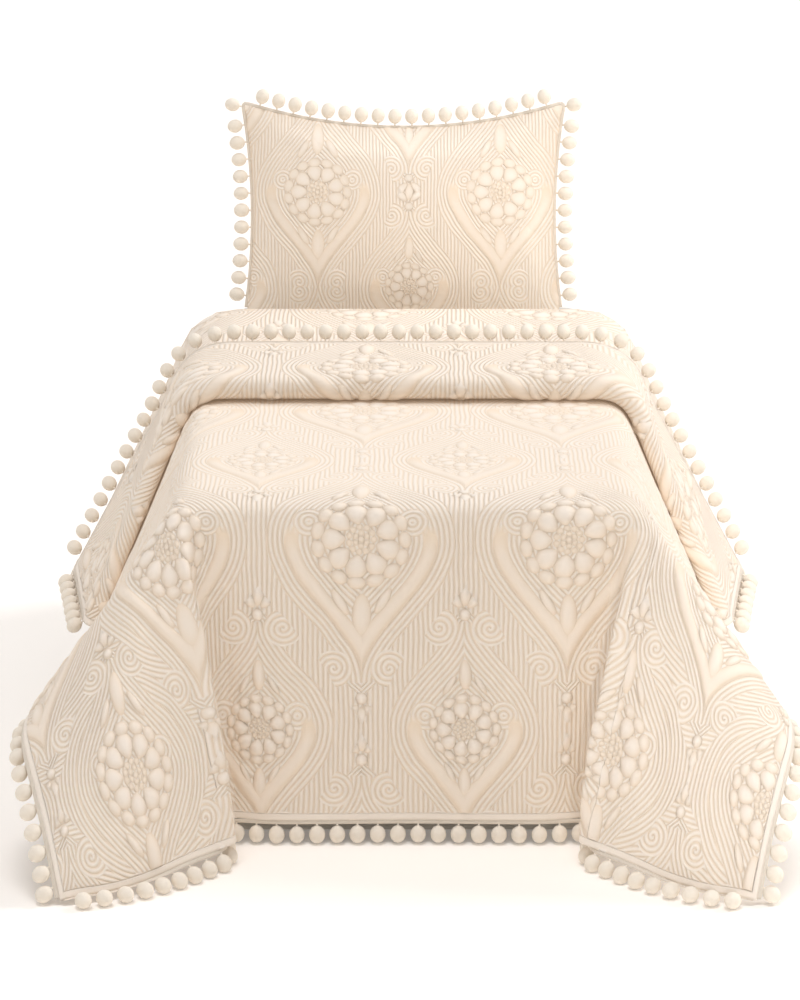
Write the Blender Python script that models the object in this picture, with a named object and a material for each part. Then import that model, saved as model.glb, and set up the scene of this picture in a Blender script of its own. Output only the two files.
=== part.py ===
"""An embossed cotton bedspread with pompom trim, draped over a twin bed, and its matching sham.

Metres, +Z up. The origin is the middle of the bed base's underside. The foot of the bed faces -Y.
The sheet is one rectangle of cloth. Flat places on it are (across, along): across from the bed's
middle line, along from the foot edge of the bed, negative where the cloth hangs below that edge.
"""

import math

import bpy
import numpy as np

BED_WIDTH = 1.00
BED_LENGTH = 1.90
BASE_HEIGHT = 0.44
MATTRESS_TOP = 0.756
MATTRESS_EDGE = 0.085
MATTRESS_CLEAR = 0.008
BASE_INSET = 0.03
BASE_EDGE = 0.012
SIDE_DROP = 0.54
FOOT_DROP = 0.70
CLOTH = 0.003
TOUCH_GAP = 0.0003
CLOTH_LIFT = 0.0012
SHEET_TOP = MATTRESS_TOP + CLOTH / 2 + CLOTH_LIFT

HALF_BED = BED_WIDTH / 2
HALF_CLOTH = HALF_BED + SIDE_DROP
FOOT_Y = -BED_LENGTH / 2

# The hem at the foot, for the right half: flat distance across, then where the hem hangs.
FOOT_HEM = [
    # name, across, x, y, z
    ("middle", 0.00, 0.000, -0.030, 0.055),
    ("panel", 0.30, 0.300, -0.034, 0.054),
    ("valley", 0.42, 0.412, -0.022, 0.058),
    ("ridge", 0.54, 0.374, -0.168, 0.050),
    ("flare", 0.67, 0.458, -0.238, 0.046),
    ("flare low", 0.79, 0.543, -0.300, 0.024),
    ("floor", 0.91, 0.629, -0.355, 0.016),
    ("tip", 1.04, 0.728, -0.380, 0.015),
]

# The side hem: flat distance along from the foot edge of the bed, then where the hem hangs.
SIDE_HEM = [
    # name, along, x, y, z
    ("tip", -0.70, 0.728, -0.380, 0.015),
    ("flare low", -0.56, 0.752, -0.335, 0.130),
    ("flare", -0.42, 0.785, -0.275, 0.235),
    ("flare top", -0.30, 0.812, -0.215, 0.300),
    ("turn", -0.15, 0.818, -0.090, 0.318),
    ("corner", 0.00, 0.760, 0.050, 0.300),
    ("first valley", 0.18, 0.675, 0.190, 0.270),
    ("first ridge", 0.34, 0.745, 0.300, 0.285),
    ("second valley", 0.50, 0.670, 0.390, 0.270),
    ("second ridge", 0.66, 0.730, 0.490, 0.280),
    ("lip", 0.86, 0.712, 0.620, 0.275),
    ("cuff", 1.20, 0.768, 0.950, 0.305),
    ("head fold", 1.50, 0.740, 1.250, 0.290),
    ("past the fold", 1.80, 0.740, 1.550, 0.290),
]

# The head end is folded back and forth: up to the head fold, back to the lip, up again to the cuff.
HEAD_FOLD = 1.520
HEAD_FOLD_RADIUS = 0.032
LIP = 0.860
LIP_RADIUS = 0.026
LIP_LIFT = 0.009
CUFF = 1.190
CUFF_LIFT = 0.060

SOFT_ACROSS = 0.036
SOFT_ALONG = 0.034
SAMPLE = 0.0125
MARGIN = 0.15

ACROSS = [0.16, 0.30, 0.37, 0.42, 0.46, 0.50, 0.54, 0.59, 0.65, 0.72, 0.80, 0.88, 0.96, HALF_CLOTH]
ALONG_FLAT = [
    -FOOT_DROP, -0.62, -0.53, -0.44, -0.35, -0.26, -0.18, -0.11, -0.06, -0.02,
    0.02, 0.06, 0.12, 0.20, 0.28, 0.36, 0.44, 0.52, 0.60, 0.68, 0.78, 0.90, 1.10, 1.30,
]
FOLD_STEPS = 7
LAYER_STEPS = 4

POMPOM = 0.035
POMPOM_PITCH = 0.0443
TIE = 0.006
TIE_WIDTH = 0.005
TAPE_WIDTH = 0.009
TAPE_THICK = 0.0014
TAPE_GAP = 0.0006
TURNED_GAP = 0.0032
TRIM_END = 0.012
HANG_LENGTH = TAPE_GAP + TAPE_WIDTH + TIE + POMPOM / 2

# How the balls of each hem turn from the cloth's own direction: toward the floor, and out from the bed.
TRIM_TURN = {
    "side": (0.35, -0.15),
    "inner": (0.30, 0.00),
    "cuff side": (0.30, 0.55),
    "foot": (0.25, 0.00),
}
TUCK = 0.9
TUCK_RUN = 0.12

# A ball's rings of four corners, from its tie to its far end.
BALL_RINGS = [
    # turn, level, size (both in ball radii)
    (0.0, -0.42, 0.86),
    (math.pi / 4, 0.35, 0.92),
]

SHAM_WIDTH = 0.81
SHAM_HEIGHT = 0.56
SHAM_THICK = 0.17
SHAM_EDGE = 0.005
SHAM_PINCH_SIDE = 0.024
SHAM_PINCH_TOP = 0.062
SHAM_PINCH_BOTTOM = 0.012
SHAM_LEAN = math.radians(12)
SHAM_FOOT = 1.690
SHAM_SHIFT = -0.012
SHAM_SINK = 0.012

COLOURS = {
    "cotton": ((0.86, 0.76, 0.64), 0.85),
    "felt": ((0.84, 0.70, 0.54), 0.95),
    "ticking": ((0.82, 0.79, 0.74), 0.90),
    "upholstery": ((0.62, 0.58, 0.52), 0.90),
}


def clear_scene():
    for item in list(bpy.data.objects):
        bpy.data.objects.remove(item, do_unlink=True)


def material(name):
    colour, roughness = COLOURS[name]
    made = bpy.data.materials.new(name)
    made.use_nodes = True
    shader = made.node_tree.nodes["Principled BSDF"]
    shader.inputs["Base Color"].default_value = (*colour, 1)
    shader.inputs["Roughness"].default_value = roughness
    shader.inputs["Metallic"].default_value = 0
    return made


def enclosed(points, faces):
    """The volume inside closed faces, negative where they point inwards."""
    points = np.asarray(points)
    total = 0.0
    for face in faces:
        first = points[face[0]]
        for b, c in zip(face[1:], face[2:]):
            total += first @ np.cross(points[b], points[c])
    return total / 6


def add_mesh(name, points, faces, finish):
    if enclosed(points, faces) < 0:
        faces = [face[::-1] for face in faces]
    mesh = bpy.data.meshes.new(name)
    mesh.from_pydata([tuple(map(float, p)) for p in points], [], [tuple(map(int, f)) for f in faces])
    mesh.validate()
    made = bpy.data.objects.new(name, mesh)
    made.data.materials.append(finish)
    bpy.context.scene.collection.objects.link(made)
    mesh.shade_smooth()
    mesh.set_sharp_from_angle(angle=math.radians(50))
    return made


def unit(vectors):
    return vectors / np.maximum(np.linalg.norm(vectors, axis=-1, keepdims=True), 1e-9)


def hem_point(table, place):
    """The hem's place in the world for a flat distance along it, straight between the table's rows."""
    keys = [row[1] for row in table]
    return np.stack([np.interp(place, keys, [row[k] for row in table]) for k in (2, 3, 4)], axis=-1)


def creased_sheet(across, along):
    """The sheet before it is softened: flat on top, and straight lines from the bed's edge to the hem."""
    u, v = np.meshgrid(across, along)
    side = np.sign(u)
    reach = np.maximum(np.abs(u) - HALF_BED, 0)
    below = np.maximum(-v, 0)
    edge = np.stack([np.minimum(np.abs(u), HALF_BED), np.maximum(v, 0), np.full_like(u, SHEET_TOP)], axis=-1)
    share = np.maximum(reach / SIDE_DROP, below / FOOT_DROP)
    scale = np.maximum(share, 1e-9)
    corner = (reach > 0) & (below > 0)
    by_side = corner & (reach / SIDE_DROP >= below / FOOT_DROP)
    hem_across = np.where(corner, HALF_BED + reach / scale, np.abs(u))
    hem_along = np.where(corner, -below / scale, v)
    foot = hem_point(FOOT_HEM, hem_across)
    flank = hem_point(SIDE_HEM, hem_along)
    use_side = ((reach > 0) & ~corner) | by_side
    hem = np.where(use_side[..., None], flank, foot)
    points = edge + share[..., None] * (hem - edge)
    points[..., 0] *= np.where(side == 0, 1, side)
    return points


def smoothing(targets, samples, spread):
    weights = np.exp(-0.5 * ((np.asarray(targets)[:, None] - samples[None]) / spread) ** 2)
    return weights / weights.sum(axis=1, keepdims=True)


GRID_ACROSS = np.arange(-HALF_CLOTH - MARGIN, HALF_CLOTH + MARGIN + SAMPLE, SAMPLE)
GRID_ALONG = np.arange(-FOOT_DROP - MARGIN, HEAD_FOLD + 0.25 + SAMPLE, SAMPLE)
CREASED = creased_sheet(GRID_ACROSS, GRID_ALONG)


def soft_sheet(across, along):
    """The softened single layer at every pair of the two lists, as an array of points."""
    rows = smoothing(along, GRID_ALONG, SOFT_ALONG)
    columns = smoothing(across, GRID_ACROSS, SOFT_ACROSS)
    return np.einsum("ai,ijk,bj->abk", rows, CREASED, columns, optimize=True)


def soft_frames(across, along):
    """Points, outward normals and the two directions in the cloth, of the softened single layer."""
    step = 0.004
    across, along = np.asarray(across, float), np.asarray(along, float)
    points = soft_sheet(across, along)
    right = unit(soft_sheet(across + step, along) - soft_sheet(across - step, along))
    headward = unit(soft_sheet(across, along + step) - soft_sheet(across, along - step))
    return points, unit(np.cross(right, headward)), right, headward


def fold_profile():
    """The path of the cloth at the head end, as rows of (along, lift) from the end of the flat rows."""
    turn = np.linspace(-math.pi / 2, math.pi / 2, FOLD_STEPS)
    head = [(HEAD_FOLD + HEAD_FOLD_RADIUS * math.cos(t), HEAD_FOLD_RADIUS * (1 + math.sin(t))) for t in turn]
    lip_low = (LIP, LIP_LIFT)
    lip = [(LIP - LIP_RADIUS * math.cos(t), LIP_LIFT + LIP_RADIUS * (1 + math.sin(t))) for t in turn]
    between = [
        (head[-1][0] + s * (lip_low[0] - head[-1][0]), head[-1][1] + s * (lip_low[1] - head[-1][1]))
        for s in np.linspace(0, 1, LAYER_STEPS + 2)[1:-1]
    ]
    last = [
        (lip[-1][0] + s * (CUFF - lip[-1][0]), lip[-1][1] + s * (CUFF_LIFT - lip[-1][1]))
        for s in np.linspace(0, 1, LAYER_STEPS + 1)[1:]
    ]
    return head + between + lip + last


def cloth_columns():
    return [-a for a in reversed(ACROSS)] + [0.0] + ACROSS


def cloth_rows():
    return [(v, 0.0) for v in ALONG_FLAT] + fold_profile()


def middle_surface(across, rows):
    """The middle of the cloth's thickness for each row (along, lift) and each place across."""
    along = np.array([row[0] for row in rows])
    lift = np.array([row[1] for row in rows])
    points, normals, _, _ = soft_frames(across, along)
    return points + lift[:, None, None] * normals


def surface_normals(points):
    down = np.gradient(points, axis=0)
    over = np.gradient(points, axis=1)
    return unit(np.cross(over, down))


def placed(points):
    return np.asarray(points) + np.array([0, FOOT_Y, 0])


def grid_faces(rows, columns, start=0, flip=False):
    faces = []
    for i in range(rows - 1):
        for j in range(columns - 1):
            a = start + i * columns + j
            face = (a, a + 1, a + columns + 1, a + columns)
            faces.append(face[::-1] if flip else face)
    return faces


def rim_loop(rows, columns):
    """Grid indices round the edge, in the order that sees the grid's faces on their left."""
    foot = [j for j in range(columns)]
    right = [i * columns + columns - 1 for i in range(1, rows)]
    head = [(rows - 1) * columns + j for j in range(columns - 2, -1, -1)]
    left = [i * columns for i in range(rows - 2, 0, -1)]
    return foot + right + head + left


def build_bedspread(finish):
    rows = cloth_rows()
    middle = middle_surface(cloth_columns(), rows)
    normals = surface_normals(middle)
    outer = placed(middle + normals * CLOTH / 2)
    inner = placed(middle - normals * CLOTH / 2)
    count_rows, count_columns = middle.shape[:2]
    total = count_rows * count_columns
    points = np.concatenate([outer.reshape(-1, 3), inner.reshape(-1, 3)])
    faces = grid_faces(count_rows, count_columns)
    faces += grid_faces(count_rows, count_columns, total, flip=True)
    loop = rim_loop(count_rows, count_columns)
    for a, b in zip(loop, loop[1:] + loop[:1]):
        faces.append((b, a, a + total, b + total))
    return add_mesh("bedspread", points, faces, finish)


def build_trim(name, path, finish):
    """A tape along the path, parted from the cloth, with a ball on a short tie at each pitch.

    A tie is cut into the tape's outer edge, and the ball grows from that small face.
    """
    length = path.length
    bends = [p for p in path.places if TRIM_END + TIE_WIDTH < p < length - TRIM_END - TIE_WIDTH]
    ties = tie_places(length, bends)
    places = sorted({TRIM_END, length - TRIM_END, *bends, *ties, *(t + TIE_WIDTH for t in ties)})
    points, faces, roots = [], [], []
    for place in places:
        at, out, up = path(place), path.outward(place), path.normal(place)
        near, far = at + out * path.gap(place), at + out * (TAPE_GAP + TAPE_WIDTH)
        half = up * TAPE_THICK / 2
        points += [near - half, far - half, far + half, near + half]
    last = 4 * (len(places) - 1)
    for k, place in enumerate(places[:-1]):
        a, b = 4 * k, 4 * (k + 1)
        for side in range(4):
            corner = (side + 1) % 4
            if place in ties and side == 1:
                roots.append(((a + 1, b + 1, b + 2, a + 2), place + TIE_WIDTH / 2))
                continue
            faces.append((a + side, b + side, b + corner, a + corner))
    faces.append((0, 1, 2, 3))
    faces.append((last + 3, last + 2, last + 1, last))
    for root, centre in roots:
        add_pompom(points, faces, root, path(centre), path.hang(centre), path.normal(centre))
    return add_mesh(name, placed(points), faces, finish)


def tie_places(length, bends):
    """Where each tie starts, at an even pitch. A tie that meets a bend of the tape starts at the bend."""
    run = length - 2 * TRIM_END
    count = max(1, int(round(run / POMPOM_PITCH)))
    ties = []
    for k in range(count):
        start = TRIM_END + (k + 0.5) * run / count - TIE_WIDTH / 2
        near = [p for p in bends if -TIE_WIDTH / 2 < p - start < 1.5 * TIE_WIDTH]
        ties.append(near[0] if near else start)
    return ties


def add_pompom(points, faces, root, at, hang, up):
    """A ball of four sides that grows from the root face of the tape.

    Its second ring is turned half a step, so the two rings are joined by triangles.
    """
    radius = POMPOM / 2
    up = unit(up - hang * (up @ hang))
    along = unit(np.cross(up, hang))
    centre = at + hang * HANG_LENGTH
    start = len(points)
    for turn, level, size in BALL_RINGS:
        for k in range(4):
            angle = turn + (k - 0.5) * math.pi / 2 - math.pi / 2
            sideways = -math.sin(angle) * along + math.cos(angle) * up
            points.append(centre + hang * radius * level + sideways * radius * size)
    points.append(centre + hang * radius)
    ring, belt, pole = start, start + 4, start + 8
    order = nearest_order([points[r] for r in root], points[ring:belt])
    forward = (order[1] - order[0]) % 4 == 1
    for k in range(4):
        here, after, beyond = (order[(k + step) % 4] for step in range(3))
        faces.append((root[k], root[(k + 1) % 4], ring + after, ring + here))
        between = belt + (here if forward else after)
        next_between = belt + (after if forward else beyond)
        faces.append((ring + here, ring + after, between))
        faces.append((ring + after, next_between, between))
        faces.append((between, next_between, pole))


def nearest_order(root, ring):
    """Which ring corner each root corner joins, keeping the root's turning sense."""
    root, ring = np.array(root), np.array(ring)
    best, chosen = None, None
    for sense in (1, -1):
        for shift in range(4):
            order = [(sense * k + shift) % 4 for k in range(4)]
            far = sum(np.linalg.norm(root[k] - ring[order[k]]) for k in range(4))
            if best is None or far < best:
                best, chosen = far, order
    return chosen


class HemPath:
    """A hem as a smooth path, with its outward direction in the cloth and the cloth's normal."""

    def __init__(self, points, outward, normal):
        self.points = np.asarray(points)
        self.outs = np.asarray(outward)
        self.hangs = self.outs.copy()
        self.flat = self.outs.copy()
        self.ups = np.asarray(normal)
        steps = np.linalg.norm(np.diff(self.points, axis=0), axis=1)
        self.places = np.concatenate([[0], np.cumsum(steps)])
        self.length = float(self.places[-1])

    def read(self, values, place):
        return np.array([np.interp(place, self.places, values[:, k]) for k in range(3)])

    def __call__(self, place):
        return self.read(self.points, place)

    def outward(self, place):
        return unit(self.read(self.outs, place))

    def gap(self, place):
        """A tape that turns away from the cloth's own direction starts a little further out."""
        turned = 1 - self.outward(place) @ unit(self.read(self.flat, place))
        return TAPE_GAP + TURNED_GAP * turned

    def hang(self, place):
        return unit(self.read(self.hangs, place))

    def normal(self, place):
        out = self.outward(place)
        up = self.read(self.ups, place)
        return unit(up - out * (up @ out))


def side_hem(side, rows):
    """The side hem along rows (along, lift) of the cloth."""
    along = [row[0] for row in rows]
    lift = np.array([row[1] for row in rows])
    points, normals, right, _ = soft_frames([side * HALF_CLOTH], along)
    return HemPath(points[:, 0] + lift[:, None] * normals[:, 0], side * right[:, 0], normals[:, 0])


def cross_hem(along, lift, headward_sign):
    """The hem across the cloth at its foot or its head end."""
    points, normals, _, headward = soft_frames(cloth_columns(), [along])
    return HemPath(points[0] + lift * normals[0], headward_sign * headward[0], normals[0])


def drop_outward(path, sink, lean):
    """Turns the balls toward the floor and across the layers, and the tape a little with them."""
    down = np.array([0, 0, -1.0])
    path.hangs = unit(path.hangs + sink * down + lean * path.ups)
    path.outs = unit(path.outs + 0.5 * sink * down + 0.2 * lean * path.ups)
    for k, point in enumerate(path.points):
        path.hangs[k] = level_on_floor(point, path.hangs[k])
        path.outs[k] = level_on_floor(point, path.outs[k])


def level_on_floor(point, out):
    """The direction, turned up just enough that a ball on it rests on the floor."""
    lowest = (POMPOM / 2 + TOUCH_GAP - point[2]) / HANG_LENGTH
    if out[2] >= lowest:
        return out
    flat = unit(out * np.array([1.0, 1.0, 0.0]))
    return unit(flat * math.sqrt(max(0.0, 1 - lowest**2)) + np.array([0, 0, lowest]))


def build_bedspread_trims(finish):
    rows = cloth_rows()
    flat = len(ALONG_FLAT)
    layer = flat + FOLD_STEPS
    lip_end = layer + LAYER_STEPS + FOLD_STEPS
    for side, word in ((-1, "left"), (1, "right")):
        main = side_hem(side, rows[:flat])
        drop_outward(main, *TRIM_TURN["side"])
        tuck_inward(main)
        build_trim(f"side_trim_{word}", main, finish)
        inner = side_hem(side, rows[layer : layer + LAYER_STEPS])
        drop_outward(inner, *TRIM_TURN["inner"])
        build_trim(f"inner_trim_{word}", inner, finish)
        cuff_side = side_hem(side, rows[lip_end - 1 :])
        drop_outward(cuff_side, *TRIM_TURN["cuff side"])
        build_trim(f"cuff_side_trim_{word}", cuff_side, finish)
    foot = cross_hem(-FOOT_DROP, 0, -1)
    drop_outward(foot, *TRIM_TURN["foot"])
    build_trim("foot_trim", foot, finish)
    build_trim("cuff_trim", cross_hem(CUFF, CUFF_LIFT, 1), finish)


def tuck_inward(path):
    """Under the folded layers the balls of the lowest hem lie toward the bed, out of their way."""
    start = LIP - SIDE_DROP / 2
    for k, point in enumerate(path.points):
        share = min(1.0, max(0.0, (point[1] - start) / TUCK_RUN))
        path.hangs[k] = unit(path.hangs[k] - share * TUCK * path.ups[k])


def sham_frame(s, t, depth):
    """A place on the sham from its own coordinates: across s, up t (both -1 to 1), and depth in metres."""
    half_w, half_h = SHAM_WIDTH / 2, SHAM_HEIGHT / 2
    width = half_w - SHAM_PINCH_SIDE * (1 - t * t)
    rise = half_h - (SHAM_PINCH_TOP if t > 0 else SHAM_PINCH_BOTTOM) * (1 - s * s) * abs(t)
    x = s * width + SHAM_SHIFT
    up = t * rise + half_h
    y = SHAM_FOOT + up * math.sin(SHAM_LEAN) + depth * math.cos(SHAM_LEAN)
    z = MATTRESS_TOP - SHAM_SINK + up * math.cos(SHAM_LEAN) - depth * math.sin(SHAM_LEAN)
    return np.array([x, y, z])


def sham_depth(s, t):
    crown = max(0.0, (1 - s * s)) ** 0.55 * max(0.0, (1 - t * t)) ** 0.55
    return SHAM_EDGE / 2 + (SHAM_THICK - SHAM_EDGE) / 2 * crown


def sham_steps(count):
    return [math.sin(0.5 * math.pi * v) * 0.5 + v * 0.5 for v in np.linspace(-1, 1, count)]


def build_sham(finish):
    columns, rows = 17, 13
    across, upward = sham_steps(columns), sham_steps(rows)
    points = []
    for face in (-1, 1):
        for t in upward:
            for s in across:
                place = sham_frame(s, t, face * sham_depth(s, t))
                floor = MATTRESS_TOP + TOUCH_GAP + (0 if face < 0 else SHAM_EDGE)
                place[2] = max(place[2], floor) if abs(t + 1) > 1e-6 or face > 0 else MATTRESS_TOP + TOUCH_GAP
                points.append(place)
    total = columns * rows
    faces = grid_faces(rows, columns)
    faces += grid_faces(rows, columns, total, flip=True)
    loop = rim_loop(rows, columns)
    for a, b in zip(loop, loop[1:] + loop[:1]):
        faces.append((b, a, a + total, b + total))
    return add_mesh("sham", placed(points), faces, finish)


def sham_hem():
    """Up the left side, along the top and down the right side; the bottom edge has no trim."""
    start = -0.86
    turns = [(-1.0, t) for t in np.linspace(start, 1, 40)]
    turns += [(s, 1.0) for s in np.linspace(-1, 1, 60)[1:]]
    turns += [(1.0, t) for t in np.linspace(1, start, 40)[1:]]
    points = np.array([sham_frame(s, t, 0) for s, t in turns])
    back = unit(sham_frame(0, 0, 1) - sham_frame(0, 0, 0))
    ahead = unit(np.gradient(points, axis=0))
    outs = unit(np.cross(ahead, back))
    return HemPath(points, outs, np.repeat(-back[None], len(points), axis=0))


def build_sham_trim(finish):
    hem = sham_hem()
    build_trim("sham_trim", hem, finish)


def rounded_block(name, size, centre, radius, steps, finish):
    """A block with rounded edges, built from a cube and a Bevel."""
    x, y, z = (s / 2 for s in size)
    corners = [(a * x, b * y, c * z) for c in (-1, 1) for b in (-1, 1) for a in (-1, 1)]
    faces = [(0, 2, 3, 1), (4, 5, 7, 6), (0, 1, 5, 4), (2, 6, 7, 3), (0, 4, 6, 2), (1, 3, 7, 5)]
    made = add_mesh(name, [np.add(p, centre) for p in corners], faces, finish)
    bevel = made.modifiers.new("Rounding", "BEVEL")
    bevel.width = radius
    bevel.segments = steps
    bevel.limit_method = "ANGLE"
    return made


def build_bed(ticking, upholstery):
    width, length = BED_WIDTH - 2 * MATTRESS_CLEAR, BED_LENGTH - MATTRESS_CLEAR
    height = MATTRESS_TOP - BASE_HEIGHT - TOUCH_GAP
    middle_y = MATTRESS_CLEAR / 2
    middle_z = BASE_HEIGHT + TOUCH_GAP + height / 2
    mattress_size = (width, length, height)
    rounded_block("mattress", mattress_size, (0, middle_y, middle_z), MATTRESS_EDGE, 4, ticking)
    base_size = (width - 2 * BASE_INSET, length - 2 * BASE_INSET, BASE_HEIGHT)
    rounded_block("bed_base", base_size, (0, middle_y, BASE_HEIGHT / 2), BASE_EDGE, 2, upholstery)


def main():
    clear_scene()
    finishes = {name: material(name) for name in COLOURS}
    build_bed(finishes["ticking"], finishes["upholstery"])
    build_bedspread(finishes["cotton"])
    build_bedspread_trims(finishes["felt"])
    build_sham(finishes["cotton"])
    build_sham_trim(finishes["felt"])


main()
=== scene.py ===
# %% [markdown]
# An embossed cotton bedspread on a twin bed, with pompom trim and one matching sham.
# The solid model of the bed is loaded first and never moved. Every piece made below stands for one
# of its solids, or lies on it, so all sizes here are the same sizes in metres, in the same frame:
# the origin is on the floor under the middle of the bed, and the foot of the bed faces -Y.

import math

import bmesh
import bpy
import numpy as np
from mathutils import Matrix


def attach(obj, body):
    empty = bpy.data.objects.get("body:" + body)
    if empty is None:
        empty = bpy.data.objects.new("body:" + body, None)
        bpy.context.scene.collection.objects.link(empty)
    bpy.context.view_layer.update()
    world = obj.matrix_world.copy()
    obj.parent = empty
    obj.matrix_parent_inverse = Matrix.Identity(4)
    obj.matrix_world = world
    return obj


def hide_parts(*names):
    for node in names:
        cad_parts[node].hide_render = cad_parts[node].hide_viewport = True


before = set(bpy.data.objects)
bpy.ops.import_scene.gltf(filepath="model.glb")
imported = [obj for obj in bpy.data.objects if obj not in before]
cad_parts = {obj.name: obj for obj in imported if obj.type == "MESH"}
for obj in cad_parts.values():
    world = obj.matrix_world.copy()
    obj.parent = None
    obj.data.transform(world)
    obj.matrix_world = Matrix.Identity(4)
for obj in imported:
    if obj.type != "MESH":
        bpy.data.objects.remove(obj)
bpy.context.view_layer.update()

# %% [markdown]
# The camera comes first, because everything is compared with the photograph through it. It stands
# seven and a half metres in front of the bed's foot and looks down a little, through a long lens, so
# the head of the bed is hardly smaller than its foot. The focal length was found in pixels, from how
# fast the pompoms shrink toward the head, and the frame's height in pixels turns it into millimetres.

# %% Camera
BED_LENGTH = 1.90
FOOT_Y = -BED_LENGTH / 2
CAMERA_AHEAD = 7.58
CAMERA_HEIGHT = 2.99
CAMERA_TILT = 0.285
FOCAL_PIXELS = 3713
FRAME_HEIGHT_PIXELS = 1000
SENSOR = 36
SHIFT_X = -0.008
SIGHT_LIMIT = 60


def add_camera():
    data = bpy.data.cameras.new("camera")
    data.sensor_fit = "VERTICAL"
    data.sensor_height = SENSOR
    data.lens = SENSOR * FOCAL_PIXELS / FRAME_HEIGHT_PIXELS
    data.shift_x = SHIFT_X
    data.clip_end = SIGHT_LIMIT
    camera = bpy.data.objects.new("camera", data)
    camera.location = (0, FOOT_Y - CAMERA_AHEAD, CAMERA_HEIGHT)
    camera.rotation_euler = (math.pi / 2 - CAMERA_TILT, 0, 0)
    bpy.context.scene.collection.objects.link(camera)
    bpy.context.scene.camera = camera
    print("camera lens", round(data.lens, 1), "mm")


add_camera()

# %% [markdown]
# The cloth is one rectangle. A flat place on it is (across, along): across from the bed's middle
# line, along from the foot edge of the bed. Two short tables say where its hem hangs, at the foot
# and along the side. Straight lines from the bed's edge to the hem make a creased sheet, and a
# blur in the cloth's own coordinates turns every crease into a soft bend, as thick cotton has.
# A cloth simulation could drape it too, but its corner flares would fall where they like, and here
# they have to follow the photograph.

# %% The draped sheet, from its hems
BED_WIDTH = 1.00
HALF_BED = BED_WIDTH / 2
SIDE_DROP = 0.54
FOOT_DROP = 0.70
HALF_CLOTH = HALF_BED + SIDE_DROP
CLOTH = 0.003
TOUCH_GAP = 0.0003
MATTRESS_TOP = 0.756
CLOTH_LIFT = 0.0012
SHEET_TOP = MATTRESS_TOP + CLOTH / 2 + CLOTH_LIFT

FOOT_HEM = [
    # name, across, x, y, z
    ("middle", 0.00, 0.000, -0.030, 0.055),
    ("panel", 0.30, 0.300, -0.034, 0.054),
    ("valley", 0.42, 0.412, -0.022, 0.058),
    ("ridge", 0.54, 0.374, -0.168, 0.050),
    ("flare", 0.67, 0.458, -0.238, 0.046),
    ("flare low", 0.79, 0.543, -0.300, 0.024),
    ("floor", 0.91, 0.629, -0.355, 0.016),
    ("tip", 1.04, 0.728, -0.380, 0.015),
]
SIDE_HEM = [
    # name, along, x, y, z
    ("tip", -0.70, 0.728, -0.380, 0.015),
    ("flare low", -0.56, 0.752, -0.335, 0.130),
    ("flare", -0.42, 0.785, -0.275, 0.235),
    ("flare top", -0.30, 0.812, -0.215, 0.300),
    ("turn", -0.15, 0.818, -0.090, 0.318),
    ("corner", 0.00, 0.760, 0.050, 0.300),
    ("first valley", 0.18, 0.675, 0.190, 0.270),
    ("first ridge", 0.34, 0.745, 0.300, 0.285),
    ("second valley", 0.50, 0.670, 0.390, 0.270),
    ("second ridge", 0.66, 0.730, 0.490, 0.280),
    ("lip", 0.86, 0.712, 0.620, 0.275),
    ("cuff", 1.20, 0.768, 0.950, 0.305),
    ("head fold", 1.50, 0.740, 1.250, 0.290),
    ("past the fold", 1.80, 0.740, 1.550, 0.290),
]
HEAD_FOLD, HEAD_FOLD_RADIUS = 1.520, 0.032
LIP, LIP_RADIUS, LIP_LIFT = 0.860, 0.026, 0.009
CUFF, CUFF_LIFT = 1.190, 0.060
LIP_END = (LIP, LIP_LIFT + 2 * LIP_RADIUS)
SOFT_ACROSS, SOFT_ALONG = 0.036, 0.034
SAMPLE, MARGIN, HEAD_MARGIN = 0.0125, 0.15, 0.25
SLOPE_STEP = 0.004


def unit(vectors):
    return vectors / np.maximum(np.linalg.norm(vectors, axis=-1, keepdims=True), 1e-9)


def hem_point(table, place):
    """Where the hem hangs, straight between the table's rows."""
    keys = [row[1] for row in table]
    return np.stack([np.interp(place, keys, [row[k] for row in table]) for k in (2, 3, 4)], axis=-1)


def creased_sheet(across, along):
    """Flat on top, and straight lines from the bed's edge to the hem."""
    u, v = np.meshgrid(across, along)
    reach = np.maximum(np.abs(u) - HALF_BED, 0)
    below = np.maximum(-v, 0)
    edge = np.stack([np.minimum(np.abs(u), HALF_BED), np.maximum(v, 0), np.full_like(u, SHEET_TOP)], axis=-1)
    share = np.maximum(reach / SIDE_DROP, below / FOOT_DROP)
    scale = np.maximum(share, 1e-9)
    corner = (reach > 0) & (below > 0)
    by_side = corner & (reach / SIDE_DROP >= below / FOOT_DROP)
    foot = hem_point(FOOT_HEM, np.where(corner, HALF_BED + reach / scale, np.abs(u)))
    flank = hem_point(SIDE_HEM, np.where(corner, -below / scale, v))
    use_side = ((reach > 0) & ~corner) | by_side
    points = edge + share[..., None] * (np.where(use_side[..., None], flank, foot) - edge)
    points[..., 0] *= np.where(u < 0, -1, 1)
    return points


GRID_ACROSS = np.arange(-HALF_CLOTH - MARGIN, HALF_CLOTH + MARGIN + SAMPLE, SAMPLE)
GRID_ALONG = np.arange(-FOOT_DROP - MARGIN, HEAD_FOLD + HEAD_MARGIN + SAMPLE, SAMPLE)
CREASED = creased_sheet(GRID_ACROSS, GRID_ALONG)
CREASED[..., 1] += FOOT_Y
print("creased sheet of", CREASED.shape[:2], "samples")


def smoothing(targets, samples, spread):
    """One row of bell-shaped weights over the samples for each target."""
    weights = np.exp(-0.5 * ((np.asarray(targets)[:, None] - samples[None]) / spread) ** 2)
    return weights / weights.sum(axis=1, keepdims=True)


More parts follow.
